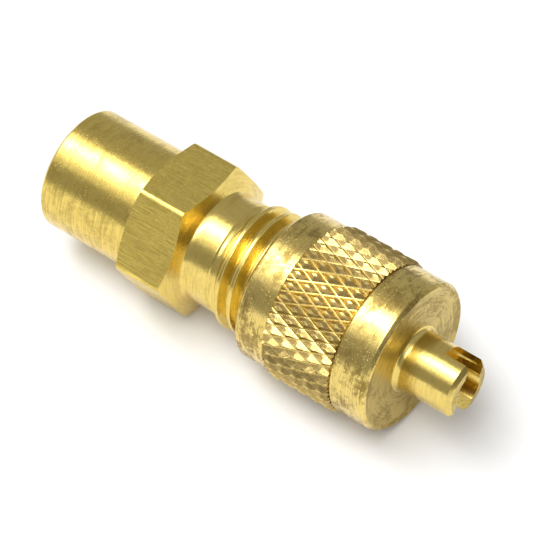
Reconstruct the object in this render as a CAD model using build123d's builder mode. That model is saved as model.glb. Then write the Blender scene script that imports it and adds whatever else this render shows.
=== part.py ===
from build123d import *
import math
import os

os.makedirs("parts", exist_ok=True)

# Access valve with its cap, lying on its side.  +X runs from the tube socket to the tip of
# the cap's key stub, the origin is the centre of the socket's mouth, +Z is up.  Millimetres.

# ---- standard sizes the rest hangs on ------------------------------------------------------
thread_pitch = 1.27                     # 20 threads per inch, right hand
thread_major_r = 5.37                   # crests rolled a little short of the 7/16 in nominal
thread_crest_land = 0.385               # flat left on each crest
thread_root_land = 0.20
thread_flank_deg = 30.0                 # half of the 60 degree form
tube_r = 3.175                          # 1/4 in copper tube
core_thread_r = 2.665                   # core screw, 0.210 in
hex_flats = 12.0

# ---- clearances ---------------------------------------------------------------------------
tube_gap = 0.05                         # brazing gap round the tube
screw_gap = 0.06                        # cap bore outside the thread's crests
seat_gap = 0.02                         # faces that close on each other
pin_gap = 0.08                          # pin in the holes that guide it
core_gap = 0.03                         # core screw in its chamber
lip_gap = 0.02                          # seal rings in their grooves

# ---- valve body, outside ------------------------------------------------------------------
tail_r = 5.30
tail_edge = 0.25
hex_back_x = 9.10
hex_front_x = 14.10
hex_corner_r = 0.60                     # rounded corners of the drawn bar
hex_face_r = hex_flats / 2 - 0.05       # where the turned end faces begin
hex_cone_out = 1.10                     # end cones: reach past the face, and their fall
hex_cone_fall = 0.42
shoulder_x = 14.50                      # foot of the front cone
shoulder_r = 4.93
neck_r = 4.82
neck_start_x = 14.85
neck_end_x = 16.60
runout_x = 17.00                        # thread's root begins
thread_fade = 1.10                      # length over which the ridge rises
thread_sides = 30                       # flat steps in one turn
thread_depth = (thread_pitch - thread_crest_land - thread_root_land) / 2 / math.tan(
    math.radians(thread_flank_deg))
thread_minor_r = thread_major_r - thread_depth
skin_step = 0.04                        # fine step where the turned parts meet the ridge
thread_heart_r = thread_minor_r - 0.40  # plain core the ridge is wound on
thread_first_x = 18.28                  # middle of a crest on the side at thread_first_deg
thread_first_deg = 115.0
nose_tip_x = 31.00                      # rim of the flare nose
nose_r = 3.90
nose_start_x = nose_tip_x - (thread_minor_r - nose_r) / math.tan(math.radians(45.0))

# ---- valve body, inside -------------------------------------------------------------------
socket_r = tube_r + tube_gap
socket_depth = 8.0
passage_r = 2.20
chamber_r = core_thread_r + core_gap
chamber_x = 25.30                       # foot of the core's screw
seat_x = chamber_x - (chamber_r - passage_r) / math.tan(math.radians(30.0))
mouth_r = chamber_r + 0.35

# ---- cap ----------------------------------------------------------------------------------
cap_back_x = 21.20
cap_band_r = 6.50
cap_edge = 0.28
knurl_start_x = 24.15
knurl_end_x = 30.62
knurl_top_r = 6.80
knurl_root_r = 6.42
knurl_count = 40                        # diamonds round the cap
knurl_step = 2.53                       # length of one diamond along the cap
knurl_top_share = 0.24                  # flat left on each diamond, against its base
knurl_first_x = 24.86                   # middle of the first row of diamonds
knurl_first_deg = 106.0
groove_end_x = 30.80                    # narrow groove between knurl and head
groove_r = 6.25
head_r = 6.53
head_front_x = 34.15
head_edge = 0.32
cap_bore_r = thread_major_r + screw_gap
cap_bore_edge = 0.30
gasket_thick = 1.25
gasket_back_x = nose_tip_x + seat_gap
gasket_front_x = gasket_back_x + gasket_thick
cap_inner_x = gasket_front_x + seat_gap # bottom of the cap's bore
gasket_hole_r = 2.90
stub_r = 2.58
stub_fillet = 0.35
stub_tip_x = 39.45
stub_edge = 0.36
slot_width = 2.30
slot_depth = 2.35
slot_turn = 27.0                        # the slot leans this far from upright
stub_bore_r = 1.60
stub_bore_depth = 3.60

# ---- valve core ---------------------------------------------------------------------------
plug_back_x = chamber_x + seat_gap
plug_front_x = plug_back_x + 2.30
bridge_front_x = plug_front_x + 1.60
bridge_thick = 1.50
pin_r = 0.45
pin_hole_r = pin_r + pin_gap
pin_back_x = 17.50
pin_tip_x = 30.55
barrel_r = 1.90
barrel_bore_r = 1.40
barrel_back_x = 19.60
barrel_floor = 0.80
barrel_port_r = 0.80
collar_r = 1.15
collar_thick = 0.50
ring_back_x = seat_x - 0.80
cup_back_x = 17.70
cup_r = 1.85
cup_gasket_r = 1.60
cup_gasket_thick = 0.60
cup_lip = 0.30
wire_r = 0.16
spring_mean_r = 0.95
spring_turns = 5
coil_steps = 16                         # flat steps in one turn of the coil
wire_sides = 6


# ---- faceted skins: the knurl and the thread are closed meshes of small flat faces ----------
def cut_at(outline, x_cut, side):
    """Keep the part of a flat outline on one side of x_cut; points are (x, degrees, radius)."""
    kept = []
    for here, there in zip(outline, outline[1:] + outline[:1]):
        here_in = side * (here[0] - x_cut) >= -1e-9
        there_in = side * (there[0] - x_cut) >= -1e-9
        if here_in:
            kept.append(here)
        if here_in != there_in:
            low, high = sorted((here, there))
            share = (x_cut - low[0]) / (high[0] - low[0])
            kept.append((x_cut,) + tuple(p + share * (q - p) for p, q in zip(low[1:], high[1:])))
    return [p for i, p in enumerate(kept)
            if max(abs(a - b) for a, b in zip(p, kept[i - 1])) > 1e-7]


def in_frame(point):
    """A point (x, degrees, radius) round the valve's axis, in the part's frame."""
    x, deg, r = point
    return Vector(round(x, 6), round(r * math.cos(math.radians(deg)), 6),
                  round(r * math.sin(math.radians(deg)), 6))


def skin_solid(outlines, start_x, end_x):
    """Trim the outlines to the span, split them into triangles and close both ends flat."""
    facets = []
    for outline in outlines:
        outline = cut_at(cut_at(outline, start_x, 1), end_x, -1)
        facets += [(outline[0], outline[i], outline[i + 1]) for i in range(1, len(outline) - 1)]
    rims = []
    for rim_x in (start_x, end_x):
        rim = {round(p[1] % 360, 4): p for f in facets for p in f if abs(p[0] - rim_x) < 1e-7}
        rims.append([rim[deg] for deg in sorted(rim)])
    corners = [[in_frame(p) for p in facet] for facet in facets + rims]
    faces = [Face(Wire.make_polygon(points, close=True)) for points in corners]
    return Solid(Shell(faces))


# ---- thread of the flare end, a right-hand 60 degree ridge ----------------------------------
def thread_outlines():
    """Strips of the winding between its four edges: crest, flank, root, flank."""
    flank = (thread_pitch - thread_crest_land - thread_root_land) / 2
    edges = [(-thread_crest_land / 2, thread_major_r), (thread_crest_land / 2, thread_major_r),
             (thread_crest_land / 2 + flank, thread_minor_r),
             (thread_crest_land / 2 + flank + thread_root_land, thread_minor_r),
             (thread_pitch - thread_crest_land / 2, thread_major_r)]
    turn_deg = 360 / thread_sides

    def on_ridge(turn, side, edge):
        along, r = edges[edge]
        deg = thread_first_deg + side * turn_deg
        x = thread_first_x + thread_pitch * (turn + side / thread_sides) + along
        fade = (x - runout_x) / (fade_end_x - runout_x) * thread_depth
        limit = max(thread_minor_r, thread_minor_r + min(fade, nose_start_x - x))
        return (x, deg, min(r, limit))

    first = -math.ceil((thread_first_x - runout_x) / thread_pitch) - 2
    last = math.ceil((nose_start_x - thread_first_x) / thread_pitch) + 1
    return [[on_ridge(turn, side, edge), on_ridge(turn, side, edge + 1),
             on_ridge(turn, side + 1, edge + 1), on_ridge(turn, side + 1, edge)]
            for turn in range(first, last + 1)
            for side in range(thread_sides)
            for edge in range(4)]


fade_end_x = runout_x + thread_fade
thread_skin = skin_solid(thread_outlines(), runout_x, nose_start_x)

# ---- valve body ---------------------------------------------------------------------------
cone_back_x = hex_back_x + hex_cone_fall
cone_front_x = hex_front_x - hex_cone_fall
with BuildPart() as valve_body:
    # drawn hexagon bar, flats up and down, corners rounded
    with BuildSketch(Plane.YZ.offset(hex_back_x)) as bar:
        RegularPolygon(hex_flats / 2, 6, major_radius=False)
        fillet(bar.vertices(), radius=hex_corner_r)
    extrude(amount=hex_front_x + hex_cone_fall - hex_back_x)
    # both ends of the bar turned to cones
    with BuildSketch(Plane.XY) as cones:
        with BuildLine():
            Polyline(
                (hex_back_x, 0),
                (hex_back_x, hex_face_r),
                (cone_back_x, hex_face_r + hex_cone_out),
                (cone_front_x, hex_face_r + hex_cone_out),
                (hex_front_x, hex_face_r),
                (shoulder_x, shoulder_r),
                (shoulder_x, 0),
                close=True,
            )
        make_face()
    revolve(axis=Axis.X, mode=Mode.INTERSECT)
    # tube socket end, plain turned
    with BuildSketch(Plane.XY) as tail:
        with BuildLine():
            Polyline(
                (0, 0),
                (0, tail_r - tail_edge),
                (tail_edge, tail_r),
                (hex_back_x, tail_r),
                (hex_back_x, 0),
                close=True,
            )
        make_face()
    revolve(axis=Axis.X)
    # neck, thread root and flare nose
    with BuildSketch(Plane.XY) as front:
        with BuildLine():
            Line((hex_back_x, 0), (hex_back_x, shoulder_r))
            Line((hex_back_x, shoulder_r), (shoulder_x, shoulder_r))
            Spline(
                (shoulder_x, shoulder_r),
                (neck_start_x, neck_r),
                tangents=[(0.35, -1), (1, 0)],
            )
            Polyline(
                (neck_start_x, neck_r),
                (neck_end_x, neck_r),
                (runout_x, thread_minor_r + skin_step),
                (runout_x, thread_heart_r),
                (nose_start_x, thread_heart_r),
                (nose_start_x, thread_minor_r - skin_step),
                (nose_tip_x, nose_r),
                (nose_tip_x, 0),
                (hex_back_x, 0),
            )
        make_face()
    revolve(axis=Axis.X)
    add(thread_skin)
    # bores: tube socket, passage, taper seat, core chamber
    with BuildSketch(Plane.XY) as bores:
        with BuildLine():
            Polyline(
                (0, 0),
                (0, socket_r),
                (socket_depth, socket_r),
                (socket_depth, passage_r),
                (seat_x, passage_r),
                (chamber_x, chamber_r),
                (nose_tip_x - (mouth_r - chamber_r), chamber_r),
                (nose_tip_x, mouth_r),
                (nose_tip_x, 0),
                close=True,
            )
        make_face()
    revolve(axis=Axis.X, mode=Mode.SUBTRACT)
valve_body.part.label = "valve_body"
export_step(valve_body.part, "parts/valve_body.step")
print("valve_body", round(valve_body.part.volume, 1), valve_body.part.is_valid)

# ---- diamond knurl ------------------------------------------------------------------------
def knurl_outlines():
    """Five outlines to each diamond: its small flat top and four sides down to the grooves."""
    half_long = knurl_step / 2
    half_round = 180 / knurl_count
    corners = [(half_long, 0), (0, half_round), (-half_long, 0), (0, -half_round)]
    first_row = -math.ceil((knurl_first_x - knurl_start_x) / half_long)
    last_row = math.ceil((knurl_end_x - knurl_first_x) / half_long)
    outlines = []
    for row in range(first_row, last_row + 1):
        row_x = knurl_first_x + row * half_long
        for n in range(knurl_count):
            deg = knurl_first_deg + (2 * n + row % 2) * half_round
            foot = [(row_x + x, deg + d, knurl_root_r) for x, d in corners]
            top = [(row_x + knurl_top_share * x, deg + knurl_top_share * d, knurl_top_r)
                   for x, d in corners]
            outlines += [top] + [[foot[i - 1], foot[i], top[i], top[i - 1]] for i in range(4)]
    return outlines


knurl = skin_solid(knurl_outlines(), knurl_start_x, knurl_end_x)

# ---- cap ----------------------------------------------------------------------------------
with BuildPart() as cap:
    with BuildSketch(Plane.XY) as cap_form:
        with BuildLine():
            Polyline(
                (cap_back_x, 0),
                (cap_back_x, cap_band_r - cap_edge),
                (cap_back_x + cap_edge, cap_band_r),
                (knurl_start_x, cap_band_r),
                (knurl_start_x, cap_bore_r + 0.5),
                (knurl_end_x, cap_bore_r + 0.5),
                (knurl_end_x, groove_r),
                (groove_end_x, groove_r),
                (groove_end_x, head_r),
                (head_front_x - head_edge, head_r),
                (head_front_x, head_r - head_edge),
                (head_front_x, 0),
                close=True,
            )
        make_face()
    revolve(axis=Axis.X)
    add(knurl)
    # key stub on the head, rounded into the face
    with BuildSketch(Plane.XY) as stub_form:
        with BuildLine():
            Polyline(
                (head_front_x - head_edge, 0),
                (head_front_x - head_edge, stub_r + stub_fillet),
                (head_front_x, stub_r + stub_fillet),
            )
            RadiusArc((head_front_x, stub_r + stub_fillet), (head_front_x + stub_fillet, stub_r),
                      -stub_fillet)
            Polyline(
                (head_front_x + stub_fillet, stub_r),
                (stub_tip_x - stub_edge, stub_r),
                (stub_tip_x, stub_r - stub_edge),
                (stub_tip_x, 0),
                (head_front_x - head_edge, 0),
            )
        make_face()
    revolve(axis=Axis.X)
    # threaded bore, with a countersunk mouth
    with BuildSketch(Plane.XY) as cap_bore:
        with BuildLine():
            Polyline(
                (cap_back_x, 0),
                (cap_back_x, cap_bore_r + cap_bore_edge),
                (cap_back_x + cap_bore_edge, cap_bore_r),
                (cap_inner_x, cap_bore_r),
                (cap_inner_x, 0),
                close=True,
            )
        make_face()
    revolve(axis=Axis.X, mode=Mode.SUBTRACT)
    # key slot and the hole behind it
    with BuildSketch(Plane.YZ.offset(stub_tip_x)) as slot:
        Rectangle(slot_width, 3 * stub_r, rotation=-slot_turn)
    extrude(amount=-slot_depth, mode=Mode.SUBTRACT)
    with BuildSketch(Plane.YZ.offset(stub_tip_x)) as stub_bore:
        Circle(stub_bore_r)
    extrude(amount=-stub_bore_depth, mode=Mode.SUBTRACT)
cap.part.label = "cap"
export_step(cap.part, "parts/cap.step")
print("cap", round(cap.part.volume, 1), cap.part.is_valid)

# ---- cap gasket ---------------------------------------------------------------------------
with BuildPart() as cap_gasket:
    with BuildSketch(Plane.YZ.offset(gasket_back_x)) as cap_ring:
        Circle(cap_bore_r - lip_gap)
        Circle(gasket_hole_r, mode=Mode.SUBTRACT)
    extrude(amount=gasket_thick)
cap_gasket.part.label = "cap_gasket"
export_step(cap_gasket.part, "parts/cap_gasket.step")

# ---- core plug: screwed disc with a bridge for the key --------------------------------------
with BuildPart() as core_plug:
    with BuildSketch(Plane.YZ.offset(plug_back_x)) as disc:
        Circle(core_thread_r)
    extrude(amount=plug_front_x - plug_back_x)
    with BuildSketch(Plane.YZ.offset(plug_front_x)) as bridge:
        Circle(core_thread_r)
        Rectangle(bridge_thick, 2 * core_thread_r, mode=Mode.INTERSECT)
    extrude(amount=bridge_front_x - plug_front_x)
    with BuildSketch(Plane.YZ.offset(plug_back_x)) as plug_hole:
        Circle(pin_hole_r)
    extrude(amount=bridge_front_x - plug_back_x, mode=Mode.SUBTRACT)
core_plug.part.label = "core_plug"
export_step(core_plug.part, "parts/core_plug.step")

# ---- core barrel --------------------------------------------------------------------------
with BuildPart() as core_barrel:
    with BuildSketch(Plane.YZ.offset(barrel_back_x)) as barrel_wall:
        Circle(barrel_r)
        Circle(barrel_port_r, mode=Mode.SUBTRACT)
    extrude(amount=chamber_x - barrel_back_x)
    with BuildSketch(Plane.YZ.offset(barrel_back_x + barrel_floor)) as barrel_bore:
        Circle(barrel_bore_r)
    extrude(amount=chamber_x - barrel_back_x - barrel_floor, mode=Mode.SUBTRACT)
core_barrel.part.label = "core_barrel"
export_step(core_barrel.part, "parts/core_barrel.step")

# ---- barrel gasket: tapered ring on the barrel, in the body's taper seat --------------------
with BuildPart() as barrel_gasket:
    with BuildSketch(Plane.XY) as taper_ring:
        with BuildLine():
            Polyline(
                (ring_back_x, barrel_r + lip_gap),
                (ring_back_x, passage_r - lip_gap),
                (seat_x, passage_r - lip_gap),
                (chamber_x, chamber_r - lip_gap),
                (chamber_x, barrel_r + lip_gap),
                close=True,
            )
        make_face()
    revolve(axis=Axis.X)
barrel_gasket.part.label = "barrel_gasket"
export_step(barrel_gasket.part, "parts/barrel_gasket.step")

# ---- core pin, with the collar the spring pushes --------------------------------------------
collar_front_x = chamber_x - seat_gap
collar_back_x = collar_front_x - collar_thick
with BuildPart() as core_pin:
    with BuildSketch(Plane.YZ.offset(pin_back_x)) as pin_round:
        Circle(pin_r)
    extrude(amount=pin_tip_x - pin_back_x)
    with BuildSketch(Plane.YZ.offset(collar_back_x)) as collar:
        Circle(collar_r)
    extrude(amount=collar_thick)
core_pin.part.label = "core_pin"
export_step(core_pin.part, "parts/core_pin.step")

# ---- seat cup and its gasket, on the pin's inner end ----------------------------------------
cup_gasket_front_x = barrel_back_x - seat_gap
cup_gasket_back_x = cup_gasket_front_x - cup_gasket_thick
cup_face_x = cup_gasket_back_x - lip_gap
with BuildPart() as seat_cup:
    with BuildSketch(Plane.XY) as cup_form:
        with BuildLine():
            Polyline(
                (cup_back_x, pin_r + lip_gap),
                (cup_back_x, cup_r),
                (cup_face_x + cup_lip, cup_r),
                (cup_face_x + cup_lip, cup_gasket_r + lip_gap),
                (cup_face_x, cup_gasket_r + lip_gap),
                (cup_face_x, pin_r + lip_gap),
                close=True,
            )
        make_face()
    revolve(axis=Axis.X)
seat_cup.part.label = "seat_cup"
export_step(seat_cup.part, "parts/seat_cup.step")

with BuildPart() as cup_gasket:
    with BuildSketch(Plane.YZ.offset(cup_gasket_back_x)) as seat_ring:
        Circle(cup_gasket_r)
        Circle(pin_r + lip_gap, mode=Mode.SUBTRACT)
    extrude(amount=cup_gasket_thick)
cup_gasket.part.label = "cup_gasket"
export_step(cup_gasket.part, "parts/cup_gasket.step")

# ---- core spring, between the barrel's floor and the pin's collar ---------------------------
spring_back_x = barrel_back_x + barrel_floor + wire_r + seat_gap
spring_front_x = collar_back_x - wire_r - seat_gap
rise = (spring_front_x - spring_back_x) / (spring_turns * coil_steps)


def wire_ring(step):
    """Corners of the wire's section at one step of the coil."""
    turn = 2 * math.pi * step / coil_steps
    ring = []
    for n in range(wire_sides):
        a = 2 * math.pi * n / wire_sides
        r = spring_mean_r + wire_r * math.cos(a)
        ring.append(Vector(spring_back_x + rise * step + wire_r * math.sin(a),
                           r * math.cos(turn), r * math.sin(turn)))
    return ring


rings = [wire_ring(step) for step in range(spring_turns * coil_steps + 1)]
wire_outlines = [rings[0], rings[-1]]
for back, front in zip(rings, rings[1:]):
    for n in range(wire_sides):
        wire_outlines += [[back[n - 1], back[n], front[n]], [back[n - 1], front[n], front[n - 1]]]
coil = Solid(Shell([Face(Wire.make_polygon(points, close=True)) for points in wire_outlines]))
with BuildPart() as core_spring:
    add(coil)
core_spring.part.label = "core_spring"
export_step(core_spring.part, "parts/core_spring.step")
print("core", core_plug.part.is_valid, core_barrel.part.is_valid, core_pin.part.is_valid,
      core_spring.part.is_valid)
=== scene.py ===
# %% [markdown]
# # A brass service valve with its cap
# The valve lies on its side.  +X is its axis, from the tube socket to the tip of the cap's
# stub, and +Z is up.  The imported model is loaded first: it is the frame that every new
# surface keeps to.  Lengths below are in millimetres and become metres in one place, when
# a mesh is made.

# %% Load the frame
import math

import bmesh
import bpy
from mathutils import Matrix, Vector
import numpy as np


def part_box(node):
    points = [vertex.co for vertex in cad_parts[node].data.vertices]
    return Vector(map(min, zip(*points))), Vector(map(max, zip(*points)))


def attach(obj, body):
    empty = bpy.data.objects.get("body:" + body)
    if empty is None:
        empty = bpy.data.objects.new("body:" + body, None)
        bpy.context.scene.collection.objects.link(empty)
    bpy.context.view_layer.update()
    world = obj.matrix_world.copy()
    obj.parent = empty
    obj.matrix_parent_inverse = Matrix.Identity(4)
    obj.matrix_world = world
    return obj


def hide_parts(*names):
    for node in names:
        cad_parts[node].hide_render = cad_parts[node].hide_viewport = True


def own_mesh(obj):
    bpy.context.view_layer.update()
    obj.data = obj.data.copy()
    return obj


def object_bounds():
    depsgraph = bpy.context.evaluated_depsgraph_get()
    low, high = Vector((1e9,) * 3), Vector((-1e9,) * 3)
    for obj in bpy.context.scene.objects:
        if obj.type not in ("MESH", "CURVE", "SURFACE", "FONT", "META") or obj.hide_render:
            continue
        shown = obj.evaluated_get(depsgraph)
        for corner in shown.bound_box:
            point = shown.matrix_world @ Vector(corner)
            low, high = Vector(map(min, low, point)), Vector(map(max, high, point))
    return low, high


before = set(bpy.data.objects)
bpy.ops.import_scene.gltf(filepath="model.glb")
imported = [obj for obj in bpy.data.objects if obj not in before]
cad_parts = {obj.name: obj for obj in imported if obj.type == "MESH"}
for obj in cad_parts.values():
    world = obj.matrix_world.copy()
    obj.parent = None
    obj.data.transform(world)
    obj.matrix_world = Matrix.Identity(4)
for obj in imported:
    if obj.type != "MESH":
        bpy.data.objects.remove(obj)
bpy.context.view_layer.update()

MM = 0.001
body_low, body_high = (np.array(c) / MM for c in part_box("valve_body"))
cap_low, cap_high = (np.array(c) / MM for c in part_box("cap"))
print("valve body", body_low.round(2), body_high.round(2))
print("cap", cap_low.round(2), cap_high.round(2))

# %% [markdown]
# ## Patches and pieces
# Every surface here is a grid of points worked out from two parameters.  A patch is that
# grid with a finish; a piece is several patches welded together.  Welding and then marking
# the edges that turn sharply keeps turned edges crisp and round faces smooth, where plain
# smooth shading would blur both.  Patches weld where their points coincide.  Rims with
# different counts of points, such as a knurl's cut edge and a plain ring, lie on each other
# without a weld, and each piece prints how many of its edges are open in this way.

# %% Grids to meshes
ROUND = 180                               # steps round the axis
SHARP = math.radians(24)
WELD, SLIVER = 2e-7, 1e-7                 # distances in metres


def patch(points, finish, wrap=True):
    """A grid of points (rows, columns, 3) as corners and faces; wrap joins last column to first."""
    rows, columns = points.shape[:2]
    number = np.arange(rows * columns).reshape(rows, columns)
    if wrap:
        number = np.hstack([number, number[:, :1]])
    faces = np.stack([number[:-1, :-1], number[:-1, 1:], number[1:, 1:], number[1:, :-1]], axis=-1)
    return points.reshape(-1, 3), faces.reshape(-1, 4), finish


def around(x, radius, angle):
    """Points at distance radius from the axis: (x, radius cos angle, radius sin angle)."""
    x, radius, angle = np.broadcast_arrays(x, radius, angle)
    return np.stack([x, radius * np.cos(angle), radius * np.sin(angle)], axis=-1)


def piece(name, patches, finishes, body, nodes):
    """Welds the patches into one object that rides a body and stands for its CAD nodes."""
    corners, faces, marks, start = [], [], [], 0
    for points, loops, finish in patches:
        corners.append(points)
        faces.extend((loops + start).tolist())
        marks.append(np.full(len(loops), finishes.index(finish)))
        start += len(points)
    mesh = bpy.data.meshes.new(name)
    mesh.from_pydata((np.vstack(corners) * MM).tolist(), [], faces)
    mesh.polygons.foreach_set("material_index", np.concatenate(marks).astype(np.int32))
    for finish in finishes:
        mesh.materials.append(finish)
    work = bmesh.new()
    work.from_mesh(mesh)
    bmesh.ops.remove_doubles(work, verts=work.verts, dist=WELD)
    bmesh.ops.dissolve_degenerate(work, edges=work.edges, dist=SLIVER)
    bmesh.ops.recalc_face_normals(work, faces=work.faces)
    work.to_mesh(mesh)
    work.free()
    mesh.shade_smooth()
    mesh.set_sharp_from_angle(angle=SHARP)
    thing = bpy.data.objects.new(name, mesh)
    bpy.context.scene.collection.objects.link(thing)
    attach(thing, body)
    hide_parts(*nodes)
    mesh.calc_loop_triangles()
    edge_faces = np.bincount(np.array([loop.edge_index for loop in mesh.loops]))
    print(name, len(mesh.loop_triangles), "triangles,", int((edge_faces != 2).sum()), "open edges")
    return thing


# %% [markdown]
# ## Rounded profiles
# A turned piece is a profile carried round the axis.  Real corners are never knife sharp:
# each one is broken by a small arc, and it is the arc that gives the thin bright line on a
# turned edge.  A pair of close points on either side of the arc keeps the flats flat in
# the shading.

# %% Profiles
def softened(corners, arc_steps=4, guard=0.25):
    """Replaces each corner (x, radius, size) by an arc that begins size before the corner.

    The arc is the parabola (1 - t)^2 start + 2 t (1 - t) corner + t^2 end.
    """
    out = []
    for i, (x, r, size) in enumerate(corners):
        here = np.array([x, r])
        if size == 0 or i in (0, len(corners) - 1):
            out.append(here)
            continue
        back = np.array(corners[i - 1][:2]) - here
        ahead = np.array(corners[i + 1][:2]) - here
        start = here + back / np.linalg.norm(back) * size
        end = here + ahead / np.linalg.norm(ahead) * size
        t = np.linspace(0, 1, arc_steps + 1)[:, None]
        curve = (1 - t) ** 2 * start + 2 * t * (1 - t) * here + t ** 2 * end
        before = start + (start - here) * guard
        after = end + (end - here) * guard
        out.extend([before, *curve, after])
    return np.array(out)


def turned(corners, finish, angles):
    """A profile of (x, radius, corner size) carried round the axis: radius is kept as the
    angle grows."""
    profile = softened(corners)
    return patch(around(profile[:, :1], profile[:, 1:], angles[None, :]), finish)


# %% [markdown]
# ## Shader maths
# Node trees are easier to read as arithmetic.  The class wraps a socket, so that
# `1 - mask * 0.5` adds the Math nodes itself.

# %% Sockets as values
class Wire:
    """A node socket that can be added, multiplied and raised like a number."""

    def __init__(self, tree, socket):
        self.tree, self.socket = tree, socket

    def node(self, kind, settings=None, **inputs):
        """Adds a node: its settings first, then the values or links of its sockets."""
        made = self.tree.nodes.new(kind)
        for key, value in (settings or {}).items():
            setattr(made, key, value)
        for key, value in inputs.items():
            place = key[1:] if key.startswith("i") else ""
            socket = made.inputs[int(place) if place.isdigit() else key.replace("_", " ")]
            if isinstance(value, Wire):
                self.tree.links.new(value.socket, socket)
            else:
                socket.default_value = value
        return made

    def math(self, operation, *values, clamp=False):
        """A Math node on the values, which may be wires or numbers."""
        sockets = {f"i{n}": value for n, value in enumerate(values)}
        made = self.node("ShaderNodeMath", {"operation": operation, "use_clamp": clamp}, **sockets)
        return Wire(self.tree, made.outputs[0])

    def __add__(self, other): return self.math("ADD", self, other)
    def __radd__(self, other): return self.math("ADD", other, self)
    def __sub__(self, other): return self.math("SUBTRACT", self, other)
    def __rsub__(self, other): return self.math("SUBTRACT", other, self)
    def __mul__(self, other): return self.math("MULTIPLY", self, other)
    def __rmul__(self, other): return self.math("MULTIPLY", other, self)
    def __pow__(self, other): return self.math("POWER", self, other)
    def __rpow__(self, other): return self.math("POWER", other, self)

    def between(self, low, high):
        """0 below low, 1 above high and a smooth rise between."""
        made = self.node("ShaderNodeMapRange", {"interpolation_type": "SMOOTHSTEP"},
                         Value=self, From_Min=low, From_Max=high)
        return Wire(self.tree, made.outputs[0])


def mixed(factor, first, second):
    """A colour between first and second."""
    made = factor.node("ShaderNodeMix", {"data_type": "RGBA"}, i0=factor, i6=first, i7=second)
    return Wire(factor.tree, made.outputs[2])


# %% [markdown]
# ## Brass
# The valve is free-cutting brass.  On the lathe the tool leaves fine rings, so the finish
# varies quickly along the axis or across a face, and slowly round it: one number, the
# distance along the axis plus the distance from it, makes rings on both.  The drawn bar
# keeps fine lines that run along it.  Handling and air leave darker, duller patches and a
# few pits.  A ready-made texture has one light and one place baked into it; noise on
# the object's own coordinates fits every face and stays put when the cap turns.

# %% Brass finishes
# SHADED is painted shade for the sides of a knurl's teeth; STAINED and SCORED are real marks.
STAINED, SCORED, SHADED = (0.34, 0.30, 0.24), (0.45, 0.42, 0.40), (0.50, 0.45, 0.50)
PALE = (0.84, 0.66, 0.24, 1)
CLOUD, SPECK, DUST = (0.42, 8.0, 0.76), (3.2, 3.0, 0.6), (6.5, 2.0, 0.5)   # per mm, detail, rough
FINE, SMEAR = (10.0, 0.5), (2.4, 0.3)     # changes per mm across and along the grain
STAIN_SPAN, PIT_SPAN, PIT_CLOUD = (0.468, 0.562), (0.64, 0.72), (0.42, 0.58)
SCORE_SPAN, SPECK_SPAN = (0.40, 0.66), (0.45, 0.7)


def times(colour, share):
    """The colour with each channel times its share, as four numbers."""
    return (*(c * k for c, k in zip(colour, share)), 1)


def brass(name, grain, tarnish=0.5, rough=0.2, pits=0.3, clean=(0.80, 0.60, 0.15), relief=0.03,
          streaks=0.3, shaded_flanks=None):
    """Brass with grain "rings" from turning or "drawn" along the bar.

    tarnish, pits and streaks go from 0 to 1; relief is the bump's depth in mm; the knurl's
    radii, if given, bound the sides of its teeth, which get painted shade.
    """
    made = bpy.data.materials.new(name)
    made.use_nodes = True
    tree = made.node_tree
    shader = tree.nodes["Principled BSDF"]
    start = Wire(tree, None)
    place = Wire(tree, start.node("ShaderNodeTexCoord").outputs["Object"])
    place_mm = Wire(tree, start.node("ShaderNodeVectorMath", {"operation": "SCALE"},
                                     i0=place, Scale=1 / MM).outputs[0])
    axes = start.node("ShaderNodeSeparateXYZ", i0=place_mm).outputs
    x, y, z = (Wire(tree, s) for s in axes)
    reach = (y * y + z * z) ** 0.5
    ringed = grain == "rings"
    along = x + reach * 0.9 if ringed else x

    def noise(across, scale, detail, roughness=0.55):
        made = start.node("ShaderNodeTexNoise", Vector=across, Scale=scale, Detail=detail,
                          Roughness=roughness)
        return Wire(tree, made.outputs[0])

    def brushed(quick, slow):
        """Noise that changes quickly across the grain and slowly along it."""
        first, rest = (quick, slow) if ringed else (slow, quick)
        where = start.node("ShaderNodeCombineXYZ", i0=along * first, i1=y * rest, i2=z * rest)
        return noise(Wire(tree, where.outputs[0]), 1.0, 3.0, 0.65)

    fine, smear = brushed(*FINE), brushed(*SMEAR)
    cloud, speck, dust = (noise(place_mm, *kind) for kind in (CLOUD, SPECK, DUST))
    blotch = cloud * 0.50 + smear * 0.18 + fine * 0.12 + speck * 0.20
    dull = blotch.between(*STAIN_SPAN) * tarnish
    pit = dust.between(*PIT_SPAN) * cloud.between(*PIT_CLOUD) * pits
    worn = start.math("MAXIMUM", dull, pit)
    base = mixed(worn, (*clean, 1), times(clean, STAINED))
    base = mixed(fine.between(*SCORE_SPAN) * streaks, base, times(clean, SCORED))
    base = mixed(speck.between(*SPECK_SPAN) * 0.22, base, PALE)
    if shaded_flanks:
        low, high = shaded_flanks
        # Painted shade: the sides of the teeth, between root and top, are darkened as if shaded by
        # the teeth beside them.
        flank_shade = reach.between(low + 0.02, low + 0.08) * (1 - reach.between(high - 0.09, high - 0.02))
        base = mixed(flank_shade * 0.75, base, times(clean, SHADED))
    tree.links.new(base.socket, shader.inputs["Base Color"])
    finish = rough + (fine - 0.5) * 0.25 + worn * 0.20 + (speck - 0.5) * 0.15
    tree.links.new(finish.socket, shader.inputs["Roughness"])
    shader.inputs["Metallic"].default_value = 1.0
    height = fine * 0.7 + smear * 0.5 + speck * 0.5 - pit * 1.5
    bump = start.node("ShaderNodeBump", Strength=0.5, Distance=relief * MM, Height=height)
    tree.links.new(bump.outputs[0], shader.inputs["Normal"])
    return made


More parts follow.
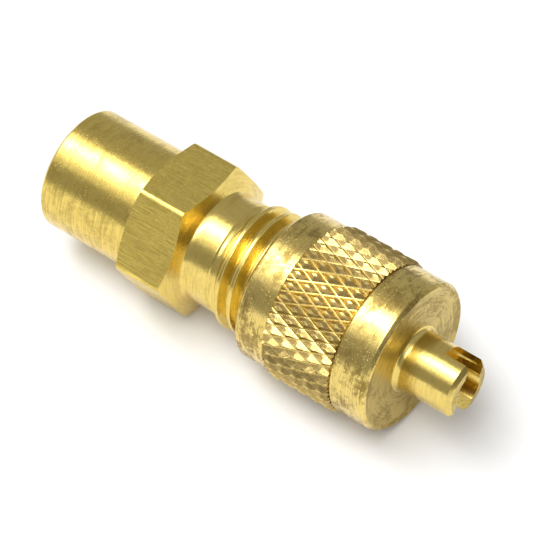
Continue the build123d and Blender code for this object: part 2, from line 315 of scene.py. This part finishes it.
turned_brass = brass("turned_brass", "rings", tarnish=0.45, rough=0.20)
bar_brass = brass("bar_brass", "drawn", tarnish=0.30, rough=0.30, streaks=0.55, relief=0.05,
                  clean=(0.80, 0.61, 0.14))
bright_brass = brass("bright_brass", "rings", tarnish=0.20, rough=0.19, pits=0.1, streaks=0.2,
                     clean=(0.80, 0.61, 0.17))
cap_brass = brass("cap_brass", "rings", tarnish=1.0, rough=0.20, pits=0.8, streaks=0.35,
                  clean=(0.80, 0.61, 0.19))
face_brass = brass("face_brass", "rings", tarnish=0.6, rough=0.34, streaks=0.3, relief=0.05,
                   clean=(0.62, 0.47, 0.14))
knurl_brass = brass("knurl_brass", "rings", tarnish=0.45, rough=0.26, shaded_flanks=(6.42, 6.80),
                    clean=(0.78, 0.60, 0.20))
print("finishes", [m.name for m in bpy.data.materials if m.name.endswith("_brass")])

# %% [markdown]
# ## The valve body: tail and hexagon
# The hexagon is drawn bar, turned to a cone at both ends.  A hexagon's distance from its
# axis is its half width over the cosine of the angle from the nearest flat, and a small
# round takes the corners off.  Rows follow the place where cone and flat meet at each
# angle, so the arcs on the flats come out exact.  A boolean would give the same arcs, but
# with ragged shading.

# %% Hexagon
hex_half = body_high[2]
tail_r = 5.30
hex_back, hex_front = 9.10, 14.10
hex_corner_round = 0.60
hex_face_r, cone_reach, cone_fall = hex_half - 0.05, 1.10, 0.42
shoulder_x, shoulder_r = 14.50, 4.93
neck_x, neck_r, neck_end = 14.85, 4.82, 16.92
pitch, major_r, minor_r = 1.27, 5.37, 4.62
thread_start, fade_end = 17.30, 17.95

TURN, SIXTH = 2 * math.pi, math.pi / 3
corner_step = math.radians(0.45)
near_corner = (np.arange(-6, 7) * corner_step)[None, :] + np.arange(6)[:, None] * SIXTH
angles = np.unique(np.concatenate([np.arange(ROUND) * TURN / ROUND,
                                   near_corner.ravel() % TURN]).round(9))


def hexagon(angle):
    """Distance from the axis to the bar's outline, with flats up and down.

    On a flat it is the half width over the cosine of the angle off the flat's middle.  On a
    rounded corner it is the far crossing of the ray with a circle of the corner's round.
    """
    off = np.abs(angle % SIXTH - SIXTH / 2)        # angle from the nearest flat's middle
    flat = hex_half / np.cos(off)
    centre = (hex_half - hex_corner_round) / math.cos(SIXTH / 2)
    turn = SIXTH / 2 - off                         # angle from the corner
    round_part = centre * np.cos(turn) + np.sqrt(
        np.maximum(hex_corner_round ** 2 - (centre * np.sin(turn)) ** 2, 0))
    tangent = math.atan((hex_half - hex_corner_round) * math.tan(SIXTH / 2) / hex_half)
    return np.where(off > tangent, round_part, flat)


def hex_patches():
    """Back face, back cone, flats and front cone.

    The cone's place along x moves in by its slope times the outline's reach past the face,
    and each patch is the straight blend (1 - t) start + t end of two such rows.
    """
    outline = hexagon(angles)
    slope = cone_fall / cone_reach
    back = hex_back + np.maximum(outline - hex_face_r, 0) * slope
    front = hex_front - np.maximum(outline - hex_face_r, 0) * slope

    def ruled(start, end, steps):
        t = np.linspace(0, 1, steps)[:, None, None]
        return (1 - t) * start[None] + t * end[None]

    foot = around(hex_back, np.full_like(angles, tail_r), angles)
    rim = around(hex_back, np.full_like(angles, hex_face_r), angles)
    back_edge, front_edge = around(back, outline, angles), around(front, outline, angles)
    front_rim = around(hex_front, np.full_like(angles, hex_face_r), angles)
    return [patch(ruled(foot, rim, 4), bright_brass), patch(ruled(rim, back_edge, 4), bright_brass),
            patch(ruled(back_edge, front_edge, 12), bar_brass),
            patch(ruled(front_edge, front_rim, 4), bright_brass)]


tail_rim_r, tail_edge = 3.6, 0.25
tail_patch = turned([(0, tail_rim_r, 0), (0, tail_r - tail_edge, 0.06), (tail_edge, tail_r, 0.08),
                     (hex_back, tail_r, 0)], turned_brass, angles)
front_cone = turned([(hex_front, hex_face_r, 0), (shoulder_x, shoulder_r, 0.05),
                     (neck_x - 0.1, neck_r + 0.02, 0.10), (neck_x + 0.15, neck_r, 0.05),
                     (neck_end, neck_r, 0.05), (neck_end + 0.16, minor_r + 0.07, 0.06),
                     (thread_start, minor_r, 0)], bright_brass, angles)
print("hexagon", round(2 * hex_half, 2), "mm over flats,",
      round(2 * float(hexagon(angles).max()), 2), "mm over corners,", len(angles), "steps round")

# %% [markdown]
# ## The thread
# The flare end carries a right-hand 60 degree thread.  Its surface is a profile of one
# pitch, repeated, and moved along the axis by one pitch in each turn: x = pitch times turns
# plus the place in the profile.  At the neck the ridge rises slowly out of the root, as a
# die leaves it, and at the nose it runs out in the 45 degree cone.

# %% Thread
crest_land, root_land = 0.35, 0.12
crest_lip, crest_break, root_rise, land_edge = 0.018, 0.07, 0.06, 0.04
first_crest_x, first_crest_deg = 18.28, 115.0
nose_tip, nose_r = body_high[0], 3.90
thread_end = nose_tip - (minor_r - nose_r)


def thread_patch():
    """x = first place + pitch times turns wound + place in the profile; the radius is the
    profile's height, held under the slow rise at the neck and the cone at the nose."""
    half, edge = crest_land / 2, land_edge
    foot = half + (pitch - crest_land - root_land) / 2
    heel = foot + root_land
    place = np.array([-half - edge / 2, -half, -half + edge, -half + 2 * edge, half - 2 * edge,
                      half - edge, half, half + edge / 2, foot - edge, foot + edge,
                      heel - edge, heel + edge, pitch - half - edge / 2])
    lip, low_crest = major_r - crest_lip, major_r - crest_break
    height = np.array([low_crest, lip, major_r, lip, lip, major_r, lip, low_crest,
                       minor_r + root_rise, minor_r, minor_r, minor_r + root_rise, low_crest])
    turns = math.ceil((thread_end - thread_start) / pitch) + 3
    first = first_crest_x - pitch * (math.ceil((first_crest_x - thread_start) / pitch) + 1)
    phase = math.radians(first_crest_deg)
    one_turn = np.sort((angles - phase) % TURN)
    winding = (one_turn[None, :] + TURN * np.arange(turns)[:, None]).ravel()
    x = first + pitch * winding[:, None] / TURN + place[None, :]
    fade = (x - thread_start) / (fade_end - thread_start) * (major_r - minor_r)
    limit = minor_r + np.minimum(fade, thread_end - x)
    radius = np.maximum(np.minimum(height[None, :], limit), minor_r)
    x = np.clip(x, thread_start, thread_end)
    return patch(around(x, radius, winding[:, None] + phase), bright_brass, wrap=False)


mouth_r, mouth_depth, chamber_r, chamber_x = 3.05, 0.35, 2.695, 25.30
seat_x, passage_r = 24.44, 2.20
socket_r, socket_depth, socket_lead = 3.225, 8.0, 0.12
nose_patch = turned([(thread_end, minor_r, 0), (nose_tip, nose_r, 0.08), (nose_tip, mouth_r, 0.05),
                     (nose_tip - mouth_depth, chamber_r, 0.03), (chamber_x, chamber_r, 0),
                     (seat_x, passage_r, 0), (socket_depth, passage_r, 0),
                     (socket_depth, socket_r, 0), (socket_lead, socket_r, 0.03),
                     (0.0, tail_rim_r, 0)], turned_brass, angles)
valve = piece("valve_body_turned",
              [tail_patch, *hex_patches(), front_cone, thread_patch(), nose_patch],
              [turned_brass, bar_brass, bright_brass], "valve", ["valve_body"])

# %% [markdown]
# ## The knurl
# A diamond knurl is two families of grooves that cross at a slant.  Counting grooves of one
# family with a and of the other with b, the distance along the cap grows with a + b and the
# angle round it with a - b.  Along each family the height is a small trapezium, and the
# surface takes the lower of the two, which leaves a cut-off pyramid in every diamond.  A
# bump map would be quicker, but the teeth stand out at the edge of the cap, so they are real.

# %% Knurl
knurl_start, knurl_end = 24.15, 30.62
knurl_top, knurl_root = cap_high[2], 6.42
knurl_count, knurl_step = 40, 2.53
knurl_first_x, knurl_first_deg = 24.86, 106.0
knurl_heart = 6.10
knurl_weld = 1e-4                         # mm


def knurl_patch(finish):
    """x = middle + half step times (a + b), angle = middle + half spacing times (a - b), and
    the height is the lower of the trapezia of a and of b."""
    half_long, half_round = knurl_step / 2, math.pi / knurl_count
    cut = np.array([0.0, 0.035, 0.10, 0.355, 0.40, 0.60, 0.645, 0.90, 0.965, 1.0])
    rise = np.array([0.0, 0.0, 0.10, 0.92, 1.0, 1.0, 0.92, 0.10, 0.0, 0.0])
    low = math.floor((knurl_start - knurl_first_x) / half_long)
    high = math.ceil((knurl_end - knurl_first_x) / half_long)
    rows = np.arange(low, high + 1)
    row, count = (g.ravel() for g in np.meshgrid(rows, np.arange(knurl_count), indexing="ij"))
    middle_x = knurl_first_x + row * half_long
    middle_angle = math.radians(knurl_first_deg) + (2 * count + row % 2) * half_round
    a, b = np.meshgrid(cut - 0.5, cut - 0.5, indexing="ij")
    x = middle_x[:, None, None] + half_long * (a + b)
    angle = middle_angle[:, None, None] + half_round * (a - b)
    height = np.minimum(rise[:, None], rise[None, :])
    points = around(x, knurl_root + height * (knurl_top - knurl_root), angle)
    size = len(cut)
    number = np.arange(size * size).reshape(size, size)
    p, q, r, s = number[:-1, :-1], number[1:, :-1], number[1:, 1:], number[:-1, 1:]
    i, j = np.indices(p.shape)
    rising = ((i == j) | (i + j != size - 2))[..., None]
    first = np.where(rising, np.stack([p, q, r], -1), np.stack([p, q, s], -1))
    second = np.where(rising, np.stack([p, r, s], -1), np.stack([q, r, s], -1))
    cell = np.concatenate([first.reshape(-1, 3), second.reshape(-1, 3)])
    starts = np.arange(len(row))[:, None, None] * size * size
    print("knurl", len(row), "diamonds,", knurl_count, "in a ring")
    return trimmed(points.reshape(-1, 3), (cell[None] + starts).reshape(-1, 3), finish)


def trimmed(points, faces, finish):
    """Cuts the teeth off square at both ends of the knurl and turns the cut edge inwards."""
    mesh = bpy.data.meshes.new("knurl_blank")
    mesh.from_pydata(points.tolist(), [], faces.tolist())
    work = bmesh.new()
    work.from_mesh(mesh)
    bmesh.ops.remove_doubles(work, verts=work.verts, dist=knurl_weld)
    for end_x, way in ((knurl_start, -1), (knurl_end, 1)):
        bmesh.ops.bisect_plane(work, geom=work.verts[:] + work.edges[:] + work.faces[:],
                               plane_co=(end_x, 0, 0), plane_no=(way, 0, 0), clear_outer=True)
    rim = [edge for edge in work.edges if edge.is_boundary]
    grown = bmesh.ops.extrude_edge_only(work, edges=rim)["geom"]
    for vert in (g for g in grown if isinstance(g, bmesh.types.BMVert)):
        vert.co.yz = vert.co.yz.normalized() * knurl_heart
    bmesh.ops.triangulate(work, faces=work.faces)
    work.verts.index_update()
    out_points = np.array([v.co[:] for v in work.verts])
    out_faces = np.array([[v.index for v in f.verts] for f in work.faces])
    work.free()
    bpy.data.meshes.remove(mesh)
    return out_points, out_faces, finish


# %% [markdown]
# ## The cap
# Band, groove, head, face and bore are profiles carried round the axis.  The key stub is a
# tube with a slot across its end: outside the slot its wall is two prongs.  Each prong's
# skin runs along the arc of the tube outside, and inside along the slot's flat, the hole's
# arc and the flat again, so the two meet at the prong's corners.  A known fault: the knurl,
# the stub and the slot's floor don't weld to their neighbours everywhere, and the faces of
# the band and the bore point inwards.

# %% Cap
cap_back, band_r = cap_low[0], 6.50
groove_end, groove_r = 30.80, 6.25
head_r, head_front, head_edge = 6.53, 34.15, 0.32
stub_r, stub_fillet, stub_edge = 2.58, 0.35, 0.36
stub_tip = cap_high[0]
slot_width, slot_depth, slot_turn = 2.30, 2.35, math.radians(27.0)
hole_r, hole_depth, hole_point = 1.60, 3.60, 0.6
bore_r, bore_end, bore_lead = 5.43, 32.29, 0.30
slot_floor, slot_half = stub_tip - slot_depth, slot_width / 2
band_edge, chamfer_fall, stub_break = 0.28, 0.24, 0.03
dish_r, dish_depth, ring_r, ring_depth = 5.86, 0.07, 4.5, 0.04
prong_middles = (-slot_turn, math.pi - slot_turn)
floor_middles = tuple(middle + math.pi / 2 for middle in prong_middles)
share = np.linspace(-1, 1, 41)
hole_share = np.linspace(-1, 1, 25)


def half_span(radius):
    """Half the angle that a prong keeps at this distance from the axis."""
    return math.acos(slot_half / radius)


def row(x, radius, angle):
    """One row of points across the axis at x."""
    return around(np.broadcast_to(x, np.shape(angle)), radius, angle)


def prong_inside(x, radius, middle):
    """Slot's flat, hole's arc and flat again, from corner to corner of one prong.

    On a flat the distance from the slot's middle is kept; on the arc it is the hole's radius
    times the cosine of the angle.
    """
    reach, bore_reach = (r * math.sin(half_span(r)) for r in (radius, hole_r))
    flat = np.linspace(reach, bore_reach, 9)[:-1]
    arc = hole_share * half_span(hole_r)
    side = np.concatenate([-flat, hole_r * np.sin(arc), flat[::-1]])
    depth = np.concatenate([np.full(len(flat), slot_half), hole_r * np.cos(arc),
                            np.full(len(flat), slot_half)])
    return row(x, np.hypot(side, depth), middle + np.arctan2(side, depth))


def prong_patches(middle):
    """Outside arc, inside and end of the prong round this angle; the end blends the two."""
    levels = [(slot_floor, stub_r), (stub_tip - stub_edge - 2 * stub_break, stub_r),
              (stub_tip - stub_edge, stub_r),
              (stub_tip - stub_break, stub_r - stub_edge + stub_break),
              (stub_tip, stub_r - stub_edge - stub_break)]
    outside = [row(x, r, middle + share * half_span(r)) for x, r in levels]
    inside = [prong_inside(x, r, middle) for x, r in levels]
    end = [(1 - t) * outside[-1] + t * inside[-1] for t in (0, 0.1, 0.9, 1.0)]
    return [patch(np.array(outside), bright_brass, False),
            patch(np.array(inside), bright_brass, False),
            patch(np.array(end), face_brass, False)]


def floor_patch(middle):
    """One side of the slot's floor, between the stub's arc and the hole's."""
    rim, lip = (row(slot_floor, r, middle + share * (math.pi / 2 - half_span(r)))
                for r in (stub_r, hole_r))
    return patch(np.array([rim, 0.5 * (rim + lip), lip]), bright_brass, False)


def ring_under_slot(radius, prong_share):
    """Angles of a full ring whose points are those of the prongs and floors above it."""
    prongs = [(m + prong_share * half_span(radius)) % TURN for m in prong_middles]
    floors = [(m + share * (math.pi / 2 - half_span(radius))) % TURN for m in floor_middles]
    return np.unique(np.concatenate(prongs + floors).round(7))


def stub_patches():
    """Prongs, floors, the stub below the slot with its fillet, and the hole."""
    hole_end = stub_tip - hole_depth
    out = [p for middle in prong_middles for p in prong_patches(middle)]
    out += [floor_patch(middle) for middle in floor_middles]
    out.append(turned([(head_front, stub_r + stub_fillet, 0),
                       (head_front + 0.04, stub_r + stub_fillet * 0.62, 0.08),
                       (head_front + stub_fillet, stub_r, 0.16),
                       (slot_floor, stub_r, 0)], bright_brass, ring_under_slot(stub_r, share)))
    out.append(turned([(slot_floor, hole_r, 0), (hole_end, hole_r, 0.05),
                       (hole_end - hole_point, 0.0, 0)], bright_brass,
                      ring_under_slot(hole_r, hole_share)))
    return out


band_patch = turned([(cap_back, bore_r + bore_lead, 0), (cap_back, band_r - band_edge, 0.05),
                     (cap_back + band_edge, band_r, 0.08), (knurl_start, band_r, 0.04),
                     (knurl_start, knurl_heart, 0)], cap_brass, angles)
head_patch = turned([(knurl_end, knurl_heart, 0), (knurl_end, groove_r, 0),
                     (groove_end, groove_r, 0), (groove_end, head_r, 0.05),
                     (head_front - head_edge, head_r, 0.05),
                     (head_front - 0.02, head_r - chamfer_fall, 0.05),
                     (head_front, head_r - head_edge, 0)], cap_brass, angles)
face_patch = turned([(head_front, head_r - head_edge, 0),
                     (head_front - dish_depth, dish_r, 0.06),
                     (head_front - ring_depth, ring_r, 0),
                     (head_front, stub_r + stub_fillet, 0)], face_brass, angles)
cap_bore_patch = turned([(bore_end, 0, 0), (bore_end, bore_r, 0),
                         (cap_back + bore_lead, bore_r, 0), (cap_back, bore_r + bore_lead, 0)],
                        turned_brass, angles)
cap_piece = piece("cap_turned",
                  [band_patch, knurl_patch(knurl_brass), head_patch, face_patch, cap_bore_patch,
                   *stub_patches()],
                  [turned_brass, cap_brass, knurl_brass, face_brass, bright_brass], "cap", ["cap"])

# %% [markdown]
# ## The core and the seals
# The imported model's own surfaces are good enough for most of the pieces inside, so they
# only get their materials: brass for the core, black rubber for the cap's ring and the
# seat, a white waxy plastic for the tapered ring.  Cast and moulded stuff is never quite
# even, so a slow noise moves its colour and shine a little, and a fine one its relief.

# %% Inner pieces
def moulded(name, colour, roughness, metallic=0.0, uneven=0.25, relief=0.01):
    """A nearly even finish: noise takes up to the share uneven off its colour."""
    made = bpy.data.materials.new(name)
    made.use_nodes = True
    tree = made.node_tree
    shader = tree.nodes["Principled BSDF"]
    start = Wire(tree, None)
    place = Wire(tree, start.node("ShaderNodeTexCoord").outputs["Object"])
    cloud, grain = (Wire(tree, start.node("ShaderNodeTexNoise", Vector=place, Scale=scale / MM,
                                          Detail=3.0).outputs[0]) for scale in (0.6, 8.0))
    shade = tuple(c * (1 - uneven) for c in colour)
    base = mixed(cloud.between(0.35, 0.65), (*colour, 1), (*shade, 1))
    tree.links.new(base.socket, shader.inputs["Base Color"])
    finish = roughness + (cloud - 0.5) * 0.2
    tree.links.new(finish.socket, shader.inputs["Roughness"])
    shader.inputs["Metallic"].default_value = metallic
    bump = start.node("ShaderNodeBump", Strength=0.4, Distance=relief * MM, Height=grain)
    tree.links.new(bump.outputs[0], shader.inputs["Normal"])
    return made


seal_rubber = moulded("seal_rubber", (0.030, 0.030, 0.032), 0.6)
inner_finish = {
    "cap_gasket": seal_rubber,
    "cup_gasket": seal_rubber,
    "barrel_gasket": moulded("seal_white", (0.80, 0.80, 0.76), 0.42, uneven=0.08),
}
for node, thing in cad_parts.items():
    if node in ("valve_body", "cap", "core_spring"):
        continue
    thing.data.materials.clear()
    thing.data.materials.append(inner_finish.get(node, bright_brass))
print("inner pieces", sorted(set(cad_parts) - {"valve_body", "cap", "core_spring"}))

# %% [markdown]
# ## The spring
# Round steel wire wound into a coil.  The pin's collar pushes one end of it while the other
# stands on the barrel's floor.

# %% Spring
spring_low, spring_high = (np.array(c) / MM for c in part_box("core_spring"))
wire_r, coil_turns, coil_steps, wire_steps = 0.16, 5, 48, 16
coil_r = spring_high[1] - wire_r


def coil_patch(finish):
    """A circle of the wire's radius carried along a helix.

    x = place along the coil + thickness times sine, distance from the axis = coil's radius +
    thickness times cosine; the thickness falls to 0 in the first and last row.
    """
    rows = coil_turns * coil_steps + 1
    share = np.concatenate([[0.0], np.linspace(0, 1, rows), [1.0]])[:, None]
    thick = np.concatenate([[0.0], np.full(rows, wire_r), [0.0]])[:, None]
    centre = spring_low[0] + wire_r + share * (spring_high[0] - spring_low[0] - 2 * wire_r)
    section = (np.arange(wire_steps) * TURN / wire_steps)[None, :]
    return patch(around(centre + thick * np.sin(section), coil_r + thick * np.cos(section),
                        TURN * coil_turns * share), finish)


spring_steel = moulded("spring_steel", (0.62, 0.62, 0.60), 0.24, metallic=1.0)
spring = piece("spring_coil", [coil_patch(spring_steel)], [spring_steel], "valve", ["core_spring"])
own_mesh(spring)

# %% [markdown]
# ## The floor
# A white sheet at the height of the knurl's lowest teeth keeps the soft shadow.  It shines a
# little by itself, only in what the camera and the metal see, so that it comes out white
# without more light on the valve.

# %% Floor
low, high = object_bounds()
floor_size, floor_glow = 1.0, 0.08
WHITE = (1.0, 1.0, 1.0, 1)


def linked(name, data):
    """A new object that is in the scene."""
    thing = bpy.data.objects.new(name, data)
    bpy.context.scene.collection.objects.link(thing)
    return thing


def background_rays(tree):
    """1 for the camera's rays and for those that metal or glass sends on, else 0."""
    rays = Wire(tree, None).node("ShaderNodeLightPath").outputs
    camera_ray, glossy, through = (Wire(tree, rays[f"Is {kind} Ray"])
                                   for kind in ("Camera", "Glossy", "Transmission"))
    seen = camera_ray + glossy
    return seen.math("ADD", seen, through, clamp=True)


half = floor_size / 2
floor_mesh = bpy.data.meshes.new("floor")
floor_mesh.from_pydata([(-half, -half, low.z), (half, -half, low.z), (half, half, low.z),
                        (-half, half, low.z)], [], [(0, 1, 2, 3)])
floor_finish = moulded("floor_white", (0.92, 0.92, 0.92), 0.9, uneven=0.01)
floor_tree = floor_finish.node_tree
floor_shader = floor_tree.nodes["Principled BSDF"]
floor_shader.inputs["Emission Color"].default_value = WHITE
lifted = background_rays(floor_tree) * floor_glow
floor_tree.links.new(lifted.socket, floor_shader.inputs["Emission Strength"])
floor_mesh.materials.append(floor_finish)
floor = linked("floor", floor_mesh)
print("floor at z", round(low.z / MM, 2), "mm")

# %% [markdown]
# ## Light
# A broad light hangs above and a little to the near side, with a brighter strip in its
# middle, and lays one long bright band along the turned parts.  Brass only looks like metal
# when it also has something dim to reflect, so grey cards stand at three sides, out of the
# camera's sight.  Past them the room is white to the camera and the metal.

# %% Lights, cards and room
card_half = 1.3


def lamp(name, place, target, size, radiance):
    """A soft rectangular light at place, facing target; size across X and up, in metres."""
    data = bpy.data.lights.new(name, "AREA")
    data.shape, data.size, data.size_y = "RECTANGLE", *size
    data.energy = radiance * math.pi * size[0] * size[1]
    thing = linked(name, data)
    thing.location = place
    thing.rotation_mode = "QUATERNION"
    thing.rotation_quaternion = Vector(np.array(target) - place).to_track_quat("-Z", "Y")


def card(name, outline, grey, turn=0.0):
    """A grey sheet along X through outline's (y, z) points in metres, turned about Z."""
    sheet = bpy.data.meshes.new(name)
    points = [(x, y, z) for x in (-card_half, card_half) for y, z in outline]
    count = len(outline)
    sheet.from_pydata(points, [], [(n, n + 1, n + 1 + count, n + count) for n in range(count - 1)])
    finish = moulded(name, (0, 0, 0), 0.9, uneven=0.0)
    shader = finish.node_tree.nodes["Principled BSDF"]
    shader.inputs["Emission Color"].default_value = (grey, grey, grey, 1)
    shader.inputs["Emission Strength"].default_value = 1.0
    sheet.materials.append(finish)
    thing = linked(name, sheet)
    thing.visible_camera = False
    thing.rotation_euler.z = turn


middle = np.array((low + high) / 2)
lamp("broad_light", (-0.08, -0.21, 0.60), middle, (0.84, 0.44), 2.3)
lamp("bright_strip", (-0.08, -0.21, 0.59), middle, (0.84, 0.15), 4.6)
card("end_card", [(-0.80, -0.006), (-0.80, 0.30), (-0.76, 0.56)], 0.22, math.pi / 2)
card("near_card", [(-0.75, -0.006), (-0.75, 0.50), (-0.70, 0.60)], 0.36)
card("far_card", [(0.75, -0.006), (0.75, 0.60), (0.55, 0.85), (0.30, 0.95), (0.08, 0.95)], 0.42)

world = bpy.data.worlds.new("room")
bpy.context.scene.world = world
world.use_nodes = True
room = world.node_tree
shade = mixed(background_rays(room), (0.45, 0.45, 0.46, 1), WHITE)
room.links.new(shade.socket, room.nodes["Background"].inputs["Color"])
room.nodes["Background"].inputs["Strength"].default_value = 1.0
print("lights", [thing.name for thing in bpy.data.lights])

# %% [markdown]
# ## Camera
# A long lens well back from the valve, so that its far end looks nearly as large as the
# near one.  It looks down from the stub's end and the near side.

# %% Camera
azimuth, elevation, distance = math.radians(38.13), math.radians(47.08), 0.2945
aim = np.array([20.06, 0.34, 0.0]) * MM
back = np.array([math.sin(azimuth) * math.cos(elevation), -math.cos(azimuth) * math.cos(elevation),
                 math.sin(elevation)])
camera_data = bpy.data.cameras.new("camera")
camera_data.sensor_width, camera_data.lens = 36.0, 240.57
camera_data.clip_start, camera_data.clip_end = 0.01, 10.0
camera = linked("camera", camera_data)
camera.location = aim + back * distance
camera.rotation_mode = "QUATERNION"
camera.rotation_quaternion = Vector(-back).to_track_quat("-Z", "Y")
bpy.context.scene.camera = camera
bpy.context.scene.view_settings.view_transform = "Standard"
print("camera", round(distance, 3), "m from", aim.round(4))
